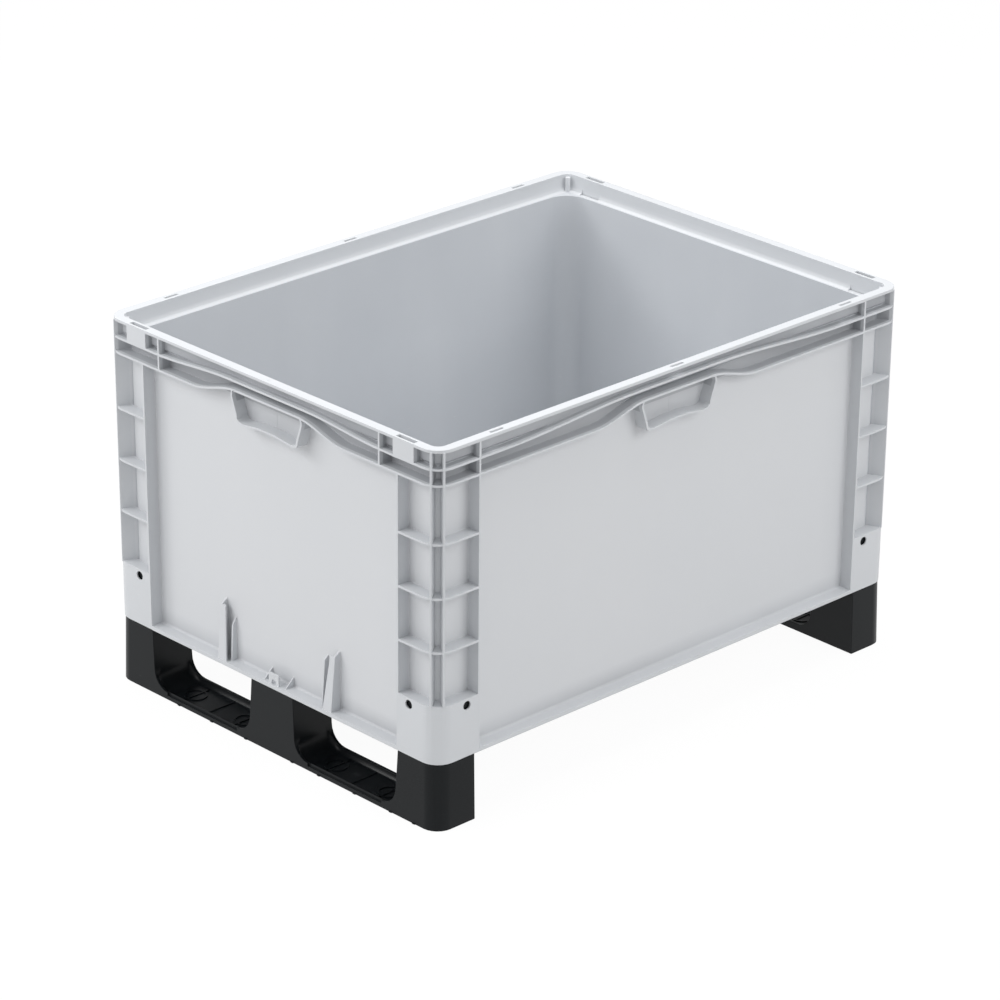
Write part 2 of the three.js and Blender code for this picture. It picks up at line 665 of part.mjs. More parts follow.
// Tongues of a corner foot, standing up inside the hollow corner block behind its holes
function cornerTongues(side, sign) {
  const height = [FOOT_FLOOR, BLOCK_TOP - BLOCK_SKIN - TONGUE_BELOW];
  const depth = [TONGUE_INSET, TONGUE_INSET + TONGUE];
  const sides = SIDES.length;
  const tongues = [];
  for (const face of [side, (side + sides + sign) % sides]) {
    const toCorner = face === side ? sign : -sign;
    const middle = halfAlong(face) - HOLE_FROM_CORNER;
    const along = mirroredRange(toCorner, middle - TONGUE_WIDTH / 2, middle + TONGUE_WIDTH / 2);
    tongues.push(boxOnSide(face, along, depth, height));
  }
  return tongues;
}

// The runner's plan, rounded at the container's corners and leaning in towards the top
function runnerBound() {
  const plan = new THREE.ExtrudeGeometry(roundedRectangle(RUNNER_INSET, RUNNER_RADIUS), {
    depth: SKIRT_HEIGHT, bevelEnabled: false, curveSegments: ARC,
  });
  return solidOf(drafted(plan, RUNNER_DRAFT, 0, SKIRT_HEIGHT));
}

// Room for the container's base, which sits down between the feet
function baseSeat() {
  const outline = roundedRectangle(BASE_INSET + DRAFT - SEAT_GAP, WALL_RADIUS + WALL_INSET - BASE_INSET);
  return slab(outline, SKIRT_HEIGHT - BASE_STEP - SEAT_GAP, SKIRT_HEIGHT + PAST);
}

// The rail's outer lip is lower than its inner one
function lipCut(side, from, to) {
  const depth = [0, RUNNER_INSET + RAIL_OUTER_WALL];
  const height = [RAIL_OUTER_HEIGHT, RAIL_INNER_HEIGHT + RAIL_FILLET];
  return boxOnSide(side, [from + RAIL_FILLET, to - RAIL_FILLET], depth, height);
}

function skidRunner(side) {
  const end = WIDTH / 2 - RUNNER_INSET;
  const outerFoot = end - FOOT_LENGTH;
  const innerFoot = MIDDLE_FOOT / 2;
  const cuts = [baseSeat()];
  for (const [from, to] of [[-end, -outerFoot], [-innerFoot, innerFoot], [outerFoot, end]]) {
    cuts.push(footHollow(side, from, to));
  }
  for (const sign of [-1, 1]) {
    const [from, to] = mirroredRange(sign, innerFoot + FOOT_FLARE, outerFoot - FOOT_FLARE);
    cuts.push(railTrough(side, from, to), lipCut(side, from, to));
  }
  const profile = intoSide(side, runnerOutline(), 0, RUNNER_INSET + RUNNER_WIDTH);
  const body = profile.intersect(runnerBound()).subtract(joined(cuts));
  return geometryOf(joined([body, ...cornerTongues(side, -1), ...cornerTongues(side, 1)]));
}

// Finishes and assembly
function greyPlastic() {
  return new THREE.MeshStandardMaterial({ color: 0xc6c9cd, roughness: 0.42, metalness: 0 });
}

function blackPlastic() {
  return new THREE.MeshStandardMaterial({ color: 0x1d1e20, roughness: 0.38, metalness: 0 });
}

function named(name, geometry, material) {
  const mesh = new THREE.Mesh(geometry, material);
  mesh.name = name;
  return mesh;
}

const container = new THREE.Group();
container.name = 'euro_container';
container.add(named('container_tub', containerTub(), greyPlastic()));
container.add(named('runner_left', skidRunner(3), blackPlastic()));
container.add(named('runner_right', skidRunner(1), blackPlastic()));

export default container;
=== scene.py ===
"""Grey plastic euro container on two black skid runners, in a plain pale studio.

Lengths are metres in the part's own frame: X along the long sides, Y along the short
sides, Z up, with the origin on the floor under the middle of the container.
"""
import logging
import math
from dataclasses import dataclass
from enum import Enum
from typing import Any, Callable

import bmesh
import bpy
from mathutils import Matrix, Vector
from mathutils.bvhtree import BVHTree
from mathutils.kdtree import KDTree


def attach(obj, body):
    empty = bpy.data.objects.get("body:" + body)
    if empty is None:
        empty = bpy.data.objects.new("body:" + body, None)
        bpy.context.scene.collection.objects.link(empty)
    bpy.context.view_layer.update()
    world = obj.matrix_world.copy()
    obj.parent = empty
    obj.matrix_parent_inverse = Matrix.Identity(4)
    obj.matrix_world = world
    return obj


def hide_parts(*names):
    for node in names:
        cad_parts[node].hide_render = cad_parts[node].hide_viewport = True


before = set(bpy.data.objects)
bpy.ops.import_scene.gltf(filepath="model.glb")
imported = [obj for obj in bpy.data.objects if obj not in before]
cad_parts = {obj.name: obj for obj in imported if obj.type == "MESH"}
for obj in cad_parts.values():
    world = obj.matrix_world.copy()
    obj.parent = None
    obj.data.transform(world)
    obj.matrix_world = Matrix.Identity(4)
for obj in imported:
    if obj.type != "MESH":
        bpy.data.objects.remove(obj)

LOG = logging.getLogger("container")
MM = 0.001
BODY = "root"
ORIGIN = Vector((0.0, 0.0, 0.0))
UNTURNED = Vector((1.0, 1.0, 1.0))
CLOSE = 0.1 * MM


class Slot(Enum):
    """Material slots of the record."""

    GREY = "grey_plastic"
    BLACK = "black_plastic"


class Varying:
    """A number that changes over a surface: a socket that takes part in arithmetic."""

    def __init__(self, graph: "Graph", socket: bpy.types.NodeSocket) -> None:
        """Wraps a socket.

        Args:
            graph: The material's graph, which the arithmetic adds its nodes to.
            socket: The output that carries the number.
        """
        self.graph = graph
        self.socket = socket

    def _with(self, operation: str, first: Any, second: Any, clamp: bool = False) -> "Varying":
        """Adds one Math node.

        Args:
            operation: The node's operation.
            first: First operand, a number or a Varying.
            second: Second operand, a number or a Varying.
            clamp: Whether the result stays between 0 and 1.

        Returns:
            The result.
        """
        settings = {"operation": operation, "use_clamp": clamp}
        node = self.graph.add("ShaderNodeMath", settings, {0: first, 1: second})
        return Varying(self.graph, node.outputs[0])

    def __add__(self, other: Any) -> "Varying":
        """self + other."""
        return self._with("ADD", self, other)

    def __sub__(self, other: Any) -> "Varying":
        """self - other."""
        return self._with("SUBTRACT", self, other)

    def __rsub__(self, other: Any) -> "Varying":
        """other - self."""
        return self._with("SUBTRACT", other, self)

    def __mul__(self, other: Any) -> "Varying":
        """self * other."""
        return self._with("MULTIPLY", self, other)

    __radd__ = __add__
    __rmul__ = __mul__

    def size(self) -> "Varying":
        """The number without its sign."""
        return self._with("ABSOLUTE", self, 0.0)

    def between(self, low: float, high: float) -> "Varying":
        """Turns a range into a mask from 0 at low to 1 at high.

        Args:
            low: The value that becomes 0.
            high: The value that becomes 1.

        Returns:
            The mask, which stays between 0 and 1 outside the range.
        """
        above = self - low
        return above._with("DIVIDE", above, high - low, clamp=True)


class Graph:
    """The node tree of one material."""

    def __init__(self, name: str) -> None:
        """Makes an empty material.

        Args:
            name: The material's name.
        """
        self.material = bpy.data.materials.new(name)
        self.material.use_nodes = True
        self.tree = self.material.node_tree
        self.tree.nodes.clear()
        self.place = self.add("ShaderNodeTexCoord").outputs["Object"]

    def add(
        self,
        kind: str,
        settings: dict[str, Any] | None = None,
        inputs: dict[str | int, Any] | None = None,
    ) -> bpy.types.Node:
        """Adds a node.

        Args:
            kind: The node's type.
            settings: The node's own settings.
            inputs: A value, a socket or a Varying for each input named.

        Returns:
            The node.
        """
        node = self.tree.nodes.new(kind)
        for name, value in (settings or {}).items():
            setattr(node, name, value)
        for key, value in (inputs or {}).items():
            socket = node.inputs[key]
            if isinstance(value, Varying):
                value = value.socket
            if isinstance(value, bpy.types.NodeSocket):
                self.tree.links.new(value, socket)
            else:
                socket.default_value = value
        return node

    def noise(self, scale: float, detail: float = 2.0, stretch: Vector | None = None) -> Varying:
        """Soft noise over the piece.

        Args:
            scale: Cells per metre.
            detail: Layers of finer noise.
            stretch: Scale along each axis before the noise is taken.

        Returns:
            Noise around 0.5.
        """
        place = self.place
        if stretch is not None:
            place = self.add(
                "ShaderNodeMapping", None, {"Vector": place, "Scale": stretch}
            ).outputs["Vector"]
        inputs = {"Vector": place, "Scale": scale, "Detail": detail, "Roughness": 0.55}
        return Varying(self, self.add("ShaderNodeTexNoise", None, inputs).outputs["Fac"])

    def along(self, axis: str) -> Varying:
        """Distance along X, Y or Z in metres."""
        parts = self.add("ShaderNodeSeparateXYZ", None, {0: self.place})
        return Varying(self, parts.outputs[axis])

    def blend(self, mask: Varying, first: Any, second: Any) -> bpy.types.NodeSocket:
        """Mixes two colours.

        Args:
            mask: 0 gives the first colour, 1 the second.
            first: Colour or socket.
            second: Colour or socket.

        Returns:
            The mixed colour.
        """
        node = self.add("ShaderNodeMix", {"data_type": "RGBA"})
        for socket, value in zip([node.inputs[0], node.inputs[6], node.inputs[7]],
                                 [mask.socket, first, second]):
            if isinstance(value, bpy.types.NodeSocket):
                self.tree.links.new(value, socket)
            else:
                socket.default_value = value
        return node.outputs[2]

    def bump(self, layers: list[tuple[Varying, float]]) -> bpy.types.NodeSocket:
        """Stacks bumps.

        Args:
            layers: Height from 0 to 1 of each layer, and its depth in metres.

        Returns:
            The normal that the layers give together.
        """
        normal = None
        for level, depth in layers:
            inputs = {"Strength": 1.0, "Distance": depth, "Height": level}
            if normal is not None:
                inputs["Normal"] = normal
            normal = self.add("ShaderNodeBump", None, inputs).outputs["Normal"]
        return normal

    def finish(self, inputs: dict[str, Any]) -> bpy.types.Material:
        """Closes the graph with the plastic's shader.

        Args:
            inputs: Values and links for the shader's sockets.

        Returns:
            The material.
        """
        shader = self.add("ShaderNodeBsdfPrincipled", None, inputs)
        self.add("ShaderNodeOutputMaterial", None, {"Surface": shader.outputs[0]})
        return self.material


@dataclass(frozen=True)
class Pattern:
    """Noise that is cut to a mask: 0 at its low level, 1 at its high one."""

    per_metre: float
    detail: float
    low: float
    high: float
    stretch: Vector | None = None

    def mask(self, graph: Graph) -> Varying:
        """The mask on a material's graph."""
        noise = graph.noise(self.per_metre, self.detail, self.stretch)
        return noise.between(self.low, self.high)


CLOUDS = Pattern(per_metre=3.2, detail=3.0, low=0.35, high=0.68)
STREAKS = Pattern(per_metre=9.0, detail=2.0, low=0.42, high=0.7, stretch=Vector((1.0, 1.0, 0.22)))
SCRATCHES = Pattern(per_metre=46.0, detail=6.0, low=0.66, high=0.74, stretch=Vector((1.0, 1.0, 7.0)))


@dataclass(frozen=True)
class PaintedShade:
    """A band of the outside that lies deep between ribs, where shade falls, and is painted darker:
    painted shade.

    The band lies between two blocks round the middle of the container, given by half their
    length and width. Where reach is set, it covers only that far from the middle of each side.
    """

    low: float
    high: float
    soft: float
    outer_half: tuple[float, float]
    inner_half: tuple[float, float]
    amount: float
    reach: float | None = None
    fade: float = 4 * MM


@dataclass(frozen=True)
class MouldedPlastic:
    """Injection-moulded plastic: fine tool grain, faint flow clouds, rubbed corners, and on the
    container painted light and painted shade in tones by region.
    """

    name: str
    colour: tuple[float, float, float]
    cloud: tuple[float, float, float]
    scuff: tuple[float, float, float]
    roughness: float
    grain_per_metre: float
    grain_depth: float
    sink_depth: float
    scuff_amount: float
    scuff_height: float
    # Lighter tone painted on the outer face of the thin wall: painted light, against the darker base
    # colour of the ribs, flanges, rim and blocks that stand proud of it.
    lit_wall: tuple[float, float, float] | None = None
    # Darker tone painted on the inner face of the wall and everything inside it: painted shade.
    inside: tuple[float, float, float] | None = None
    outer_half: tuple[float, float] = (0.0, 0.0)
    inner_half: tuple[float, float] = (0.0, 0.0)
    rim: float = 494 * MM
    lean: float = 2.2 / 406
    edge_fade: float = 1.0 * MM
    # Bands of painted shade, and the dark colour that they are painted towards.
    painted_shades: tuple[PaintedShade, ...] = ()
    painted_shade: tuple[float, float, float] = (0.25, 0.26, 0.28)
    specular: float = 0.5
    ior: float = 1.49
    cloud_amount: float = 0.4
    streak_amount: float = 0.25
    sink_per_metre: float = 7.0
    sink_detail: float = 1.0
    rough_from_grain: float = 0.10
    rough_from_cloud: float = 0.05
    rough_from_wear: float = 0.2

    def material(self) -> bpy.types.Material:
        """Builds the node material.

        Returns:
            The material.
        """
        graph = Graph(self.name)
        clouds = CLOUDS.mask(graph)
        streaks = STREAKS.mask(graph)
        grain = graph.noise(self.grain_per_metre)
        scratches = SCRATCHES.mask(graph)
        low = 1.0 - graph.along("Z").between(0.0, self.scuff_height)
        worn = scratches * low * self.scuff_amount
        plain: Any = (*self.colour, 1.0)
        if self.lit_wall is not None:
            # Painted light: the outer face of the wall is coloured lighter than the parts that stand
            # proud of it.
            plain = graph.blend(self._within(graph, self.outer_half), plain, (*self.lit_wall, 1.0))
            # Painted shade: the inside of the container is coloured darker.
            plain = graph.blend(self._within(graph, self.inner_half), plain, (*self.inside, 1.0))
        # Painted shade: deep bands between the rim, the flanges, the skirt and in the handle pockets
        # are coloured darker.
        for painted_shade in self.painted_shades:
            plain = graph.blend(self._painted_shade_mask(graph, painted_shade), plain, (*self.painted_shade, 1.0))
        flow = clouds * self.cloud_amount + streaks * self.streak_amount
        clouded = graph.blend(flow, plain, (*self.cloud, 1.0))
        colour = graph.blend(worn, clouded, (*self.scuff, 1.0))
        evened = self.roughness - (self.rough_from_grain + self.rough_from_cloud) / 2
        rough = (grain * self.rough_from_grain + clouds * self.rough_from_cloud
                 + worn * self.rough_from_wear + evened)
        sink = graph.noise(self.sink_per_metre, self.sink_detail)
        return graph.finish({
            "Base Color": colour,
            "Roughness": rough.socket,
            "IOR": self.ior,
            "Specular IOR Level": self.specular,
            "Normal": graph.bump([(sink, self.sink_depth), (grain, self.grain_depth)]),
        })

    def _painted_shade_mask(self, graph: Graph, painted_shade: PaintedShade) -> Varying:
        """Masks a band of painted shade.

        Args:
            graph: The material's graph.
            painted_shade: The band.

        Returns:
            The band's amount inside it, 0 outside.
        """
        height = graph.along("Z")
        above = height.between(painted_shade.low - painted_shade.soft, painted_shade.low)
        below = height.between(painted_shade.high + painted_shade.soft, painted_shade.high)
        core = self._within(graph, painted_shade.inner_half)
        shell = self._within(graph, painted_shade.outer_half) * (1.0 - core)
        mask = above * below * shell * painted_shade.amount
        if painted_shade.reach is None:
            return mask
        edge = painted_shade.reach + painted_shade.fade
        aside = (graph.along("X").size().between(painted_shade.reach, edge)
                 * graph.along("Y").size().between(painted_shade.reach, edge))
        return mask * (1.0 - aside)

    def _within(self, graph: Graph, half: tuple[float, float]) -> Varying:
        """Masks a block round the middle of the container, whose sides lean as the walls do.

        Args:
            graph: The material's graph.
            half: Half of the block's length and width.

        Returns:
            1 inside the block, 0 outside.
        """
        lean = (self.rim - graph.along("Z")) * self.lean
        length = (graph.along("X").size() + lean).between(half[0], half[0] - self.edge_fade)
        width = (graph.along("Y").size() + lean).between(half[1], half[1] - self.edge_fade)
        return length * width


WALL_OUTSIDE = (384 * MM, 284 * MM)
WALL_INSIDE = (381 * MM, 281 * MM)
FLANGES_OUTSIDE = (395 * MM, 295 * MM)
RIM_BACK = (389 * MM, 289 * MM)
# Bands of painted shade: the outside is painted darker under the rim, between the flanges, above the
# skirt and in the handle pockets, where shade falls.
SHADE_UNDER_RIM = PaintedShade(
    low=470.5 * MM, high=489.5 * MM, soft=0.5 * MM,
    outer_half=FLANGES_OUTSIDE, inner_half=RIM_BACK, amount=0.62)
SHADE_BETWEEN_FLANGES = PaintedShade(
    low=450 * MM, high=467.2 * MM, soft=0.5 * MM,
    outer_half=FLANGES_OUTSIDE, inner_half=WALL_INSIDE, amount=0.58)
SHADE_ABOVE_SKIRT = PaintedShade(
    low=80 * MM, high=96 * MM, soft=20 * MM,
    outer_half=WALL_OUTSIDE, inner_half=WALL_INSIDE, amount=0.30)
SHADE_IN_HANDLE_POCKETS = PaintedShade(
    low=426 * MM, high=464 * MM, soft=4 * MM,
    outer_half=WALL_OUTSIDE, inner_half=WALL_INSIDE, amount=0.30, reach=55 * MM)
GREY_FINISH = MouldedPlastic(
    name="grey polypropylene",
    colour=(0.590, 0.607, 0.630),
    cloud=(0.610, 0.626, 0.648),
    scuff=(0.70, 0.71, 0.72),
    # Painted light: lighter tone of the outer wall face.
    lit_wall=(0.628, 0.640, 0.660),
    # Painted shade: darker tone of the inside of the container.
    inside=(0.535, 0.555, 0.583),
    outer_half=WALL_OUTSIDE,
    inner_half=WALL_INSIDE,
    painted_shades=(SHADE_UNDER_RIM, SHADE_BETWEEN_FLANGES, SHADE_ABOVE_SKIRT, SHADE_IN_HANDLE_POCKETS),
    roughness=0.46,
    grain_per_metre=1500.0,
    grain_depth=0.03 * MM,
    sink_depth=0.6 * MM,
    scuff_amount=0.5,
    scuff_height=0.5,
)
BLACK_FINISH = MouldedPlastic(
    name="black polypropylene",
    colour=(0.0054, 0.0068, 0.0080),
    cloud=(0.0082, 0.0100, 0.0116),
    scuff=(0.050, 0.052, 0.055),
    specular=0.17,
    roughness=0.31,
    grain_per_metre=1100.0,
    grain_depth=0.04 * MM,
    sink_depth=0.5 * MM,
    scuff_amount=0.55,
    scuff_height=0.05,
)


def only(obj: bpy.types.Object) -> None:
    """Selects one object and makes it active."""
    bpy.ops.object.select_all(action="DESELECT")
    obj.select_set(True)
    bpy.context.view_layer.objects.active = obj


def triangles(obj: bpy.types.Object) -> int:
    """Number of triangles of a mesh."""
    return sum(len(face.vertices) - 2 for face in obj.data.polygons)


@dataclass
class Moulding:
    """One moulded piece: the CAD node with its edges rounded as a mould leaves them."""

    node: str
    piece: str
    slot: Slot
    edge_radius: float
    segments: int = 2
    lowest: float = -1.0
    sharp_angle: float = 32.0
    merge: float = 0.01 * MM
    flat_angle: float = 0.3
    room: float = 2.2
    straight_on: float = -0.8
    tries: int = 12
    stray: float = 0.8
    most_sides: int = 5
    least_area: float = 0.1 * MM * MM
    least_agreement: float = 0.15
    reach: float = 3.0

    def build(self) -> bpy.types.Object:
        """Copies the node, joins its loose triangles and rounds its edges.

        Returns:
            The finished mesh.
        """
        only(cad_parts[self.node])
        bpy.ops.object.duplicate()
        plain = bpy.context.view_layer.objects.active
        only(plain)
        bpy.ops.object.mode_set(mode="EDIT")
        bpy.ops.mesh.select_all(action="SELECT")
        bpy.ops.mesh.remove_doubles(threshold=self.merge)
        bpy.ops.mesh.customdata_custom_splitnormals_clear()
        bpy.ops.mesh.dissolve_limited(angle_limit=math.radians(self.flat_angle))
        bpy.ops.object.mode_set(mode="OBJECT")
        obj = self._rounded_cleanly(plain)
        bpy.data.objects.remove(plain)
        obj.name = self.piece
        obj.data.name = self.piece
        self._keep_flats_flat(obj)
        return obj

    def _rounded_cleanly(self, plain: bpy.types.Object) -> bpy.types.Object:
        """Rounds as many edges as the mesh takes without a fold.

        Args:
            plain: The merged mesh with sharp edges.

        Returns:
            The rounded copy.
        """
        surface = BVHTree.FromPolygons(
            [vertex.co for vertex in plain.data.vertices],
            [face.vertices for face in plain.data.polygons])
        edges = self._sharp_edges(plain)
        for _ in range(self.tries):
            rounded = self._rounded(plain, edges)
            flaws = self._flaws(rounded, surface)
            LOG.info("%s: %d edges rounded, %d flaws", self.piece, len(edges), len(flaws))
            kept = self._away_from(plain, edges, flaws)
            if len(kept) == len(edges):
                return rounded
            edges = kept
            bpy.data.objects.remove(rounded)
        return self._rounded(plain, edges)

    def _sharp_edges(self, plain: bpy.types.Object) -> list[int]:
        """Finds the sharp edges that have room for the rounding.

        Args:
            plain: The merged mesh.

        Returns:
            Indices of the edges.
        """
        mesh = bmesh.new()
        mesh.from_mesh(plain.data)
        sharp = math.radians(self.sharp_angle)
        found = []
        for edge in mesh.edges:
            middle = (edge.verts[0].co.z + edge.verts[1].co.z) / 2
            if len(edge.link_faces) != 2 or middle < self.lowest:
                continue
            if edge.calc_face_angle(0.0) < sharp:
                continue
            if all(self._has_room(edge, vertex) for vertex in edge.verts):
                found.append(edge.index)
        mesh.free()
        return found

    def _has_room(self, edge: bmesh.types.BMEdge, vertex: bmesh.types.BMVert) -> bool:
        """Tells whether the rounding of an edge fits beside its neighbours at one end.

        Args:
            edge: The sharp edge.
            vertex: One of its ends.

        Returns:
            False where a short edge turns off there.
        """
        along = (edge.other_vert(vertex).co - vertex.co).normalized()
        for other in vertex.link_edges:
            if other is edge or not set(other.link_faces) & set(edge.link_faces):
                continue
            away = (other.other_vert(vertex).co - vertex.co).normalized()
            turns = along.dot(away) > self.straight_on
            if turns and other.calc_length() < self.room * self.edge_radius:
                return False
        return True

    def _rounded(self, plain: bpy.types.Object, edges: list[int]) -> bpy.types.Object:
        """Rounds the given edges on a copy.

        Args:
            plain: The merged mesh.
            edges: Indices of the edges.

        Returns:
            The rounded copy.
        """
        only(plain)
        bpy.ops.object.duplicate()
        obj = bpy.context.view_layer.objects.active
        weights = [0.0] * len(obj.data.edges)
        for index in edges:
            weights[index] = 1.0
        layer = obj.data.attributes.new("bevel_weight_edge", "FLOAT", "EDGE")
        layer.data.foreach_set("value", weights)
        rounding = obj.modifiers.new("rounding", "BEVEL")
        rounding.width = self.edge_radius
        rounding.segments = self.segments
        rounding.limit_method = "WEIGHT"
        rounding.use_clamp_overlap = False
        bpy.ops.object.modifier_apply(modifier=rounding.name)
        return obj

    def _flaws(self, rounded: bpy.types.Object, surface: BVHTree) -> list[Vector]:
        """Finds folds and spikes that the rounding has left.

        Args:
            rounded: The rounded mesh.
            surface: The mesh before the rounding.

        Returns:
            The places where the mesh leaves the old surface or faces against it.
        """
        mesh = rounded.data
        limit = self.stray * self.edge_radius
        found = [vertex.co.copy() for vertex in mesh.vertices
                 if surface.find_nearest(vertex.co)[3] > limit]
        for face in mesh.polygons:
            if len(face.vertices) > self.most_sides or face.area < self.least_area:
                continue
            normal = surface.find_nearest(face.center)[1]
            if normal.dot(face.normal) < self.least_agreement:
                found += [mesh.vertices[index].co.copy() for index in face.vertices]
        return found

    def _away_from(
        self, plain: bpy.types.Object, edges: list[int], flaws: list[Vector]
    ) -> list[int]:
        """Drops the edges that end near a flaw.

        Args:
            plain: The merged mesh.
            edges: Indices of the edges that were rounded.
            flaws: Places of the flaws.

        Returns:
            Indices of the edges that stay.
        """
        if not flaws:
            return edges
        near = KDTree(len(flaws))
        for index, flaw in enumerate(flaws):
            near.insert(flaw, index)
        near.balance()
        limit = self.reach * self.edge_radius
        mesh = plain.data
        kept = []
        for index in edges:
            ends = mesh.edges[index].vertices
            if min(near.find(mesh.vertices[end].co)[2] for end in ends) > limit:
                kept.append(index)
        return kept

    def _keep_flats_flat(self, obj: bpy.types.Object) -> None:
        """Shades the roundings smooth and lets the large faces set the normals.

        Args:
            obj: The rounded mesh.
        """
        only(obj)
        bpy.ops.object.shade_smooth_by_angle(angle=math.radians(self.sharp_angle))
        normals = obj.modifiers.new("normals", "WEIGHTED_NORMAL")
        normals.keep_sharp = True
        normals.weight = 100
        bpy.ops.object.modifier_apply(modifier=normals.name)

    def dress(self, obj: bpy.types.Object, material: bpy.types.Material) -> None:
        """Gives the piece its finish and its place on the body.

        Args:
            obj: The finished mesh.
            material: The plastic.
        """
        obj.data.materials.clear()
        obj.data.materials.append(material)
        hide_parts(self.node)
        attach(obj, BODY)
        LOG.info("%s: %d triangles", obj.name, triangles(obj))


def added(kind: str, **sizes: Any) -> bpy.types.Object:
    """Adds a primitive at its size and place.

    Args:
        kind: The primitive, such as cube or cylinder.
        sizes: What the operator takes.

    Returns:
        The primitive, with its place in its mesh.
    """
    bpy.ops.object.select_all(action="DESELECT")
    getattr(bpy.ops.mesh, f"primitive_{kind}_add")(**sizes)
    bpy.ops.object.transform_apply(location=True, rotation=True, scale=True)
    return bpy.context.view_layer.objects.active


def added_box(low: Vector, high: Vector) -> bpy.types.Object:
    """Adds a box between two corners."""
    return added("cube", size=1.0, location=(low + high) / 2, scale=high - low)


def copied(
    obj: bpy.types.Object, shift: Vector = ORIGIN, mirror: Vector = UNTURNED
) -> bpy.types.Object:
    """Copies a finished form to another place.

    Args:
        obj: The form.
        shift: How far the copy moves.
        mirror: 1 or -1 along each axis.

    Returns:
        The copy, with its own mesh.
    """
    only(obj)
    bpy.ops.object.duplicate()
    copy = bpy.context.view_layer.objects.active
    copy.location = shift
    copy.scale = mirror
    bpy.ops.object.transform_apply(location=True, rotation=True, scale=True)
    bpy.ops.object.mode_set(mode="EDIT")
    bpy.ops.mesh.select_all(action="SELECT")
    bpy.ops.mesh.normals_make_consistent(inside=False)
    bpy.ops.object.mode_set(mode="OBJECT")
    return copy


def at_all_corners(form: bpy.types.Object) -> list[bpy.types.Object]:
    """Mirrors a form at the corner of +X and +Y to the other three corners."""
    turns = (Vector((-1.0, 1.0, 1.0)), Vector((1.0, -1.0, 1.0)), Vector((-1.0, -1.0, 1.0)))
    return [form, *(copied(form, mirror=turn) for turn in turns)]


def edit(obj: bpy.types.Object, chosen: Callable[[Vector], bool], mode: str = "VERT") -> None:
    """Opens a mesh for editing with the vertices chosen by their place.

    Args:
        obj: The form.
        chosen: Tells whether a vertex is chosen.
        mode: What is selected: VERT, EDGE or FACE.
    """
    only(obj)
    bpy.ops.object.mode_set(mode="EDIT")
    bpy.ops.mesh.select_mode(type="VERT")
    bpy.ops.mesh.select_all(action="DESELECT")
    bpy.ops.object.mode_set(mode="OBJECT")
    for vertex in obj.data.vertices:
        vertex.select = chosen(vertex.co)
    bpy.ops.object.mode_set(mode="EDIT")
    if mode != "VERT":
        bpy.ops.mesh.select_mode(type=mode)


def finish_edit() -> None:
    """Goes back to object mode."""
    bpy.ops.object.mode_set(mode="OBJECT")


@dataclass
class Fitting:
    """Small moulded forms that stand on one of the pieces, joined to one mesh."""

    piece: str
    slot: Slot
    smooth_angle: float = math.radians(40.0)

    def joined(self, forms: list[bpy.types.Object]) -> bpy.types.Object:
        """Joins the forms and shades them.

        Args:
            forms: The finished forms.

        Returns:
            One object with the piece's name.
        """
        only(forms[0])
        for form in forms:
            form.select_set(True)
        bpy.ops.object.join()
        obj = bpy.context.view_layer.objects.active
        obj.name = self.piece
        obj.data.name = self.piece
        bpy.ops.object.shade_smooth_by_angle(angle=self.smooth_angle)
        return obj

    def soften(self, obj: bpy.types.Object, width: float, segments: int = 2) -> None:
        """Rounds all sharp edges of a form.

        Args:
            obj: The form.
            width: Size of the rounding.
            segments: Number of its steps.
        """
        only(obj)
        rounding = obj.modifiers.new("rounding", "BEVEL")
        rounding.width = width
        rounding.segments = segments
        rounding.limit_method = "ANGLE"
        bpy.ops.object.modifier_apply(modifier=rounding.name)

    def dress(self, obj: bpy.types.Object, material: bpy.types.Material) -> None:
        """Gives the forms their finish and their place on the body.

        Args:
            obj: The finished mesh.
            material: The plastic.
        """
        obj.data.materials.clear()
        obj.data.materials.append(material)
        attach(obj, BODY)
        LOG.info("%s: %d triangles", obj.name, triangles(obj))


@dataclass
class RailNubs(Fitting):
    """Small half-round nubs low on the outer face of a runner's rail."""

    outward: float = -1.0
    face: float = 398 * MM
    places: tuple[float, ...] = (0.177, 0.114, 0.049, -0.038, -0.087, -0.152, -0.217, -0.258)
    radius: float = 3.2 * MM
    proud: float = 1.3 * MM
    sunk: float = 0.6 * MM
    height: float = 2.0 * MM
    low: float = 0.15 * MM
    tip_width: float = 0.72
    tip_height: float = 0.8
    sides: int = 20
    edge: float = 0.45 * MM

    def build(self) -> bpy.types.Object:
        """Models one nub and copies it along the rail.

        Returns:
            All the nubs of one runner as one mesh.
        """
        nub = self._nub()
        first = self.places[0]
        copies = [copied(nub, Vector((0.0, place - first, 0.0))) for place in self.places[1:]]
        return self.joined([nub, *copies])

    def _nub(self) -> bpy.types.Object:
        """Models the first nub: a short round bar, cut in half and tapered to its tip.

        Returns:
            The nub in its place.
        """
        middle = self.outward * (self.face + (self.proud - self.sunk) / 2)
        nub = added(
            "cylinder", vertices=self.sides, radius=self.radius, depth=self.proud + self.sunk,
            location=(middle, self.places[0], self.height / 2),
            rotation=(0.0, math.pi / 2, 0.0))
        for level, below in ((self.height, False), (self.low, True)):
            edit(nub, lambda place: True)
            bpy.ops.mesh.bisect(plane_co=(0.0, 0.0, level), plane_no=(0.0, 0.0, 1.0),
                                use_fill=True, clear_inner=below, clear_outer=not below)
            finish_edit()
        tip = self.face + self.proud
        edit(nub, lambda place: abs(abs(place.x) - tip) < CLOSE)
        bpy.ops.transform.resize(
            value=(1.0, self.tip_width, self.tip_height),
            center_override=(self.outward * tip, self.places[0], self.low))
        finish_edit()
        self.soften(nub, self.edge)
        return nub


